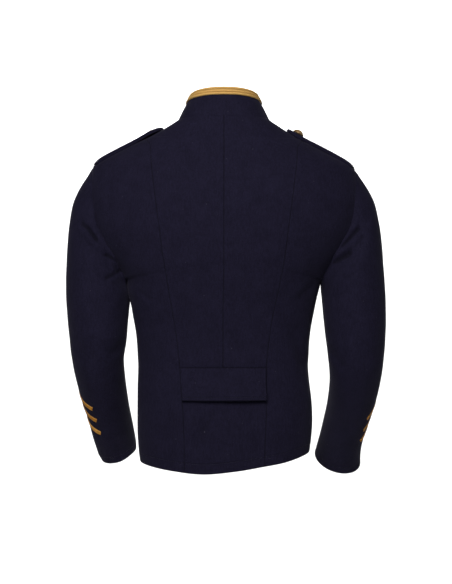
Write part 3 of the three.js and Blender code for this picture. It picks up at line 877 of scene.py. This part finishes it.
def addSleeves(material):
    for side in ("left", "right"):
        for kind in ("sleeve_top", "sleeve_under"):
            node = f"{kind}_{side}"
            piece = clothPiece(node, "sleeve", sleeveCreases[side], ("cuff",))
            dress(piece, material, "wool", node)


def addCollar(material):
    piece = clothPiece("collar", "collar", noCreases)
    dress(piece, material, "wool", "collar")


# Straps: two layers turned out over a stiffener, rounded at the edges and stitched round
strap = {
    "flat": math.radians(30),  # triangles that turn less than this are joined
    "sharp": math.radians(35),
    "round": 1.0 * mm,
    "steps": 2,
    "levels": 2,
    "inset": 4,  # millimetres from the edge in to the stitches
    "fuller": 0.6 * mm,
    "under": -0.35,  # a face that looks down more than this lies in the strap's own shade
    "tip": 22 * mm,  # the stretch at the inner end that reaches on towards the collar
    "reach": {"left": -6.5 * mm, "right": 0.8 * mm},
}


def reachedOn(places, side):
    across = np.abs(places[:, 0])
    moved = places.copy()
    moved[:, 0] += strap["reach"][side] * np.clip(1 - (across - across.min()) / strap["tip"], 0, 1)
    return moved


def addStraps(material):
    for side in ("left", "right"):
        node = f"epaulette_{side}"
        shape = mergedShape(node)
        bmesh.ops.join_triangles(
            shape, faces=shape.faces, angle_face_threshold=strap["flat"], angle_shape_threshold=math.pi)
        corners = [edge for edge in shape.edges if edge.calc_face_angle(0) > strap["sharp"]]
        bmesh.ops.bevel(
            shape, geom=corners, offset=strap["round"], segments=strap["steps"], profile=0.5,
            affect="EDGES", material=-1, clamp_overlap=True)
        piece = linked(f"{node}_cloth", meshOf(shape, node))
        mesh = subdivided(piece, strap["levels"])
        places = readVectors(mesh.vertices, "co")
        places += readVectors(mesh.vertex_normals, "vector") * strap["fuller"]
        places = reachedOn(places, side)
        mesh.vertices.foreach_set("co", places.ravel())
        mesh.update()
        # The strap's underside gets the seam's painted shade, as if it lay in its own shadow
        under = readVectors(mesh.vertex_normals, "vector")[:, 2] < strap["under"]
        setAttribute(mesh, "edge", np.where(under, 0, far))
        setAttribute(mesh, "stitch", np.full(len(places), far))
        setAttribute(mesh, "fold", np.zeros(len(places)))
        smoothed(mesh)
        addStitches(f"{node}_stitches", strapLines(node, side), treeOf(mesh, places), threads)
        dress(piece, material, "wool", node)


def strapLines(node, side):
    # A row set in from the strap's edge, along both sides and round its point
    mesh = meshOf(outerSheet(node, upward=True), f"{node}_top")
    places = reachedOn(readVectors(mesh.vertices, "co"), side)
    edges = freeEdges(mesh)
    ways = outwardWays(edges, places)
    outer = np.abs(places[:, 0]).max() - strap["inset"] * mm
    pairs = [key for key in edges if min(abs(places[key[0]][0]), abs(places[key[1]][0])) < outer]
    lines = [
        np.array([places[index] - ways[index] * strap["inset"] * mm for index in run])
        for run in chained(pairs)]
    bpy.data.meshes.remove(mesh)
    return lines


def stripSides(mesh, places):
    # The two long edges and one short end of a narrow strip, as lists of its edge points
    edges = list(freeEdges(mesh))
    near = {}
    for first, second in edges:
        near.setdefault(first, []).append(second)
        near.setdefault(second, []).append(first)
    start = edges[0][0]
    ring = [start, near[start][0]]
    while len(ring) < len(near):
        ring.append(next(index for index in near[ring[-1]] if index != ring[-2]))
    turns = []
    for i, index in enumerate(ring):
        into = places[index] - places[ring[i - 1]]
        onward = places[ring[(i + 1) % len(ring)]] - places[index]
        turns.append(into @ onward / (np.linalg.norm(into) * np.linalg.norm(onward)))
    corners = sorted(np.argsort(turns)[:4])
    ring = ring[corners[0]:] + ring[:corners[0]]
    cut = [corner - corners[0] for corner in corners] + [len(ring)]
    ring.append(ring[0])
    runs = [ring[cut[i]:cut[i + 1] + 1] for i in range(4)]
    if len(runs[0]) < len(runs[1]):
        runs = runs[1:] + runs[:1]
    return runs[0], runs[2], runs[1]


stripe = {
    "thick": 2 * mm,
    "round": 0.3 * mm,
    "levels": 3,
    # For the first to the third stripe: what is taken off the end that shows behind, and the rise
    "shorter": {"left": (4.7 * mm, 2.4 * mm, 0.4 * mm), "right": (7 * mm, 10 * mm, 13 * mm)},
    "lift": {"left": (8 * mm, 11 * mm, 11 * mm), "right": (0, -4.5 * mm, -6.5 * mm)},
    "turn": {"left": 0.27, "right": 0.05},  # how far the outer parts come down, for each metre out
    "near": 25 * mm,  # the stretch at the end that gives the way the braid runs there
    "above": 1.2 * mm,  # from the sleeve to the braid's outer face
}


def trimmedStripe(shape, side, number):
    # The braid is cut shorter at its back end, and lies less steeply
    corners = [vert for vert in shape.verts if len(vert.link_faces) == 1]
    corners.sort(key=lambda vert: -vert.co.y)
    end = (corners[0].co + corners[1].co) / 2
    close = [vert.co for vert in shape.verts if (vert.co - end).length < stripe["near"]]
    along = (sum(close, Vector()) / len(close) - end).normalized()
    inner = min(abs(vert.co.x) for vert in shape.verts)
    cut = end + along * stripe["shorter"][side][number - 1]
    everything = list(shape.verts) + list(shape.edges) + list(shape.faces)
    bmesh.ops.bisect_plane(shape, geom=everything, plane_co=cut, plane_no=along, clear_inner=True)
    for vert in shape.verts:
        outward = abs(vert.co.x) - inner
        vert.co.z += stripe["lift"][side][number - 1] - outward * stripe["turn"][side]


def laidOnSleeve(places):
    # The braid's outer face lies a set height above the sleeve
    for index, place in enumerate(places):
        near, normal = seamSurfaces["sleeve"].find_nearest(place)[:2]
        places[index] = near + normal * stripe["above"]


def addCuffStripes(material):
    for side in ("left", "right"):
        for number in (1, 2, 3):
            node = f"cuff_stripe_{side}_{number}"
            shape = outerSheet(node)
            trimmedStripe(shape, side, number)
            piece = linked(f"{node}_braid", meshOf(shape, node))
            mesh = subdivided(piece, stripe["levels"])
            places = readVectors(mesh.vertices, "co")
            laidOnSleeve(places)
            places += readVectors(mesh.vertex_normals, "vector") * (swell(places) * mm)[:, None]
            mesh.vertices.foreach_set("co", places.ravel())
            upper, lower, end = stripSides(mesh, places)
            above = distanceTo(places[upper], places)
            below = distanceTo(places[lower], places)
            setAttribute(mesh, "across", (above - below) / (above + below))
            setAttribute(mesh, "along", distanceTo(places[end], places))
            thickened(piece, stripe["thick"], stripe["round"])
            dress(piece, material, "gold_braid", node)


# Collar braid: three twisted cords side by side round the top edge
collarBraid = {
    "cords": 3,
    "radius": 2.5 * mm,
    "first": 0,  # from the collar's top edge down to the first cord's middle
    "step": 4.8 * mm,
    "pitch": 9 * mm,
    "plies": 2,
    "bite": 0.2,  # how deep the grooves between the plies are, as a share of the radius
    "ease": 0.6,  # below 1 the plies are rounder and the grooves narrower
    "stand": 0.55,  # how far a cord's middle stands off the collar, as a share of the radius
    "merge": 0.002 * mm,
    "stations": 340,
    "sides": 14,
    "centre": (0, -0.004),
    "opening": 1.2,  # degrees each side of the centre front
    # The collar's face is looked for from outside towards the centre, and from above downwards
    "reach": 0.15,
    "short": 0.002,
    "top": 0.08,
    "down": 0.25 * mm,
}


def collarLine(tree, drop):
    # Points down the collar's outer face, a set distance below its top edge, all round
    centre = Vector((*collarBraid["centre"], 0))
    points = []
    span = 2 * math.pi - 2 * math.radians(collarBraid["opening"])
    for i in range(collarBraid["stations"] + 1):
        angle = -math.pi / 2 + math.radians(collarBraid["opening"]) + span * i / collarBraid["stations"]
        outward = Vector((math.cos(angle), math.sin(angle), 0))
        height, passed, last = collarBraid["top"], 0.0, None
        while passed < drop or last is None:
            start = centre + outward * collarBraid["reach"] + Vector((0, 0, height))
            hit = tree.ray_cast(start, -outward, collarBraid["reach"] - collarBraid["short"])[0]
            if hit is not None:
                passed += (hit - last).length if last is not None else 0
                last = hit
            height -= collarBraid["down"]
        points.append((last, outward))
    return points


def addCollarBraid(material):
    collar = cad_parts["collar"].data
    tree = treeOf(collar, readVectors(collar.vertices, "co"))
    for number in range(collarBraid["cords"]):
        line = collarLine(tree, collarBraid["first"] + collarBraid["step"] * number)
        piece = twistedCord(f"collar_cord_{number + 1}", line)
        dress(piece, material, "gold_braid", "collar_braid")


def twistedCord(name, line):
    stations, sides = len(line) - 1, collarBraid["sides"]
    shape = bmesh.new()
    bmesh.ops.create_grid(shape, x_segments=stations, y_segments=sides, size=0.5)
    plyLayer = shape.verts.layers.float.new("ply")
    alongLayer = shape.verts.layers.float.new("along")
    lengths = [0.0]
    for (before, _), (after, _) in zip(line, line[1:]):
        lengths.append(lengths[-1] + (after - before).length)
    for vert in shape.verts:
        station = round((vert.co.x + 0.5) * stations)
        turn = 2 * math.pi * (vert.co.y + 0.5)
        point, outward = line[station]
        ahead = line[min(station + 1, stations)][0] - line[max(station - 1, 0)][0]
        up = outward.cross(ahead).normalized()
        if up.z < 0:
            up = -up
        twist = turn * collarBraid["plies"] / 2 - math.pi * lengths[station] / collarBraid["pitch"] * 2
        ply = abs(math.cos(twist))
        end = min(lengths[station], lengths[-1] - lengths[station])
        share = min(end / collarBraid["radius"], 1)
        closing = math.sqrt(share * (2 - share))
        groove = collarBraid["bite"] * (1 - ply ** collarBraid["ease"])
        radius = collarBraid["radius"] * (1 - groove) * closing
        away = outward * math.cos(turn) + up * math.sin(turn)
        vert.co = point + outward * collarBraid["radius"] * collarBraid["stand"] + away * radius
        vert[plyLayer] = ply
        vert[alongLayer] = lengths[station] / mm
    bmesh.ops.remove_doubles(shape, verts=shape.verts, dist=collarBraid["merge"])
    bmesh.ops.recalc_face_normals(shape, faces=shape.faces)
    return linked(name, smoothed(meshOf(shape, name)))


# Buttons: a plain dome with a raised rim, spun about its own axis
button = {
    "profile": [(0, 0), (0.62, 0), (0.9, 0.1), (1, 0.22), (0.985, 0.32), (0.93, 0.38), (0.88, 0.37),
                (0.84, 0.46), (0.72, 0.68), (0.5, 0.88), (0.26, 0.975), (0, 1)],
    "steps": 40,
    "levels": 1,
    "merge": 0.001 * mm,
    "wider": {"epaulette": 1.06, "front": 1},
    "taller": {"epaulette": 1.3, "front": 1.1},
}


def addButton(node, outward, material):
    # The axis, radius and seat are those of the node's own dome
    places = readVectors(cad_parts[node].data.vertices, "co")
    middle = places.mean(axis=0)
    spread = np.linalg.svd(places - middle, full_matrices=False)[2]
    axis = Vector(spread[2])
    if axis.dot(Vector(outward)) < 0:
        axis.negate()
    heights = (places - middle) @ np.array(axis)
    radius = np.linalg.norm((places - middle) - np.outer(heights, axis), axis=1).max()
    seat = Vector(middle) + axis * float(heights.min())
    tall = float(heights.max() - heights.min())
    kind = node.split("_")[0]
    radius *= button["wider"][kind]
    tall *= button["taller"][kind]
    shape = bmesh.new()
    verts = [shape.verts.new((r * radius, 0, h * tall)) for r, h in button["profile"]]
    edges = [shape.edges.new(pair) for pair in zip(verts, verts[1:])]
    bmesh.ops.spin(
        shape, geom=verts + edges, cent=(0, 0, 0), axis=(0, 0, 1), angle=2 * math.pi,
        steps=button["steps"], use_merge=True, use_duplicate=False)
    bmesh.ops.remove_doubles(shape, verts=shape.verts, dist=button["merge"])
    bmesh.ops.recalc_face_normals(shape, faces=shape.faces)
    worn = shape.verts.layers.float.new("worn")
    for vert in shape.verts:
        vert[worn] = min(max(vert.co.z / tall, 0), 1)
    turn = Vector((0, 0, 1)).rotation_difference(axis).to_matrix()
    bmesh.ops.rotate(shape, verts=shape.verts, cent=(0, 0, 0), matrix=turn)
    bmesh.ops.translate(shape, verts=shape.verts, vec=seat)
    piece = linked(f"{node}_dome", smoothed(meshOf(shape, f"{node}_dome")))
    subdivided(piece, button["levels"])
    dress(piece, material, "button_brass", node)


def addButtons():
    material = brassMaterial("antiqueBrass")
    for side in ("left", "right"):
        addButton(f"epaulette_button_{side}", (0, 0, 1), material)
    for number in range(1, 9):
        addButton(f"front_button_{number}", (0, -1, 0), material)


addCamera()
addLights()
addStage()
say("stage")
wools = {part: woolMaterial(f"wool_{part}") for part in ("body", "sleeve", "trim")}
threads = threadMaterial("sewingThread")
addBody(wools["body"])
say("body")
addSleeves(wools["sleeve"])
say("sleeves")
addCollar(wools["trim"])
addStraps(wools["trim"])
say("collar and straps")
addCuffStripes(braidMaterial("cuffBraid"))
addCollarBraid(cordMaterial("collarCord"))
say("braid")
addButtons()
say("buttons")
